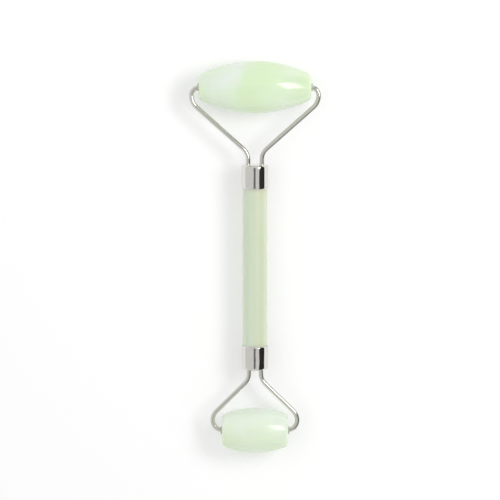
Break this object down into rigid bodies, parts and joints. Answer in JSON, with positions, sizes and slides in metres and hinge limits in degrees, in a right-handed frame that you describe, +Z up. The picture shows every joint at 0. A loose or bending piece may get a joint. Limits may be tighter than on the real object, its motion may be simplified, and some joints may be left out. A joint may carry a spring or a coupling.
{
  "type": "jade face roller",
  "caption": "Facial massage roller: a stone handle with a metal collar and wire fork at each end, each fork carrying a free-spinning barrel stone, one long and one short.",
  "frame": {"origin": "on the ground plane under the middle of the tool's bounding box, as the tool lies at rest on its two stones", "axes": "+Y along the handle towards the large roller, X along both spin axes, +Z up from the surface that the tool lies on"},
  "size_m": [0.0502, 0.151, 0.0199],
  "materials": {
    "jade": "polished pale green jade, cloudy and slightly translucent",
    "nickel_plate": "bright nickel plate on drawn sheet, near mirror",
    "nickel_wire": "bright nickel plate on drawn wire, fine lengthways draw marks",
    "resin": "cured clear epoxy, hidden in the collar",
    "sleeve_plastic": "translucent grey-green moulded sleeve"
  },
  "bodies": {
    "handle_assembly": {"handle": "jade", "large_collar": "nickel_plate", "small_collar": "nickel_plate", "large_fork": "nickel_wire", "small_fork": "nickel_wire", "large_plug": "resin", "small_plug": "resin"},
    "large_roller_assembly": {"large_roller": "jade", "large_bush_left": "sleeve_plastic", "large_bush_right": "sleeve_plastic"},
    "small_roller_assembly": {"small_roller": "jade", "small_bush_left": "sleeve_plastic", "small_bush_right": "sleeve_plastic"}
  },
  "joints": [
    {"name": "large_roller_spin", "type": "hinge", "parent": "handle_assembly", "child": "large_roller_assembly", "pos_m": [0, 0.06557, 0.00995], "axis": [1, 0, 0], "continuous": true},
    {"name": "small_roller_spin", "type": "hinge", "parent": "handle_assembly", "child": "small_roller_assembly", "pos_m": [0, -0.06682, 0.0087], "axis": [1, 0, 0], "continuous": true}
  ]
}
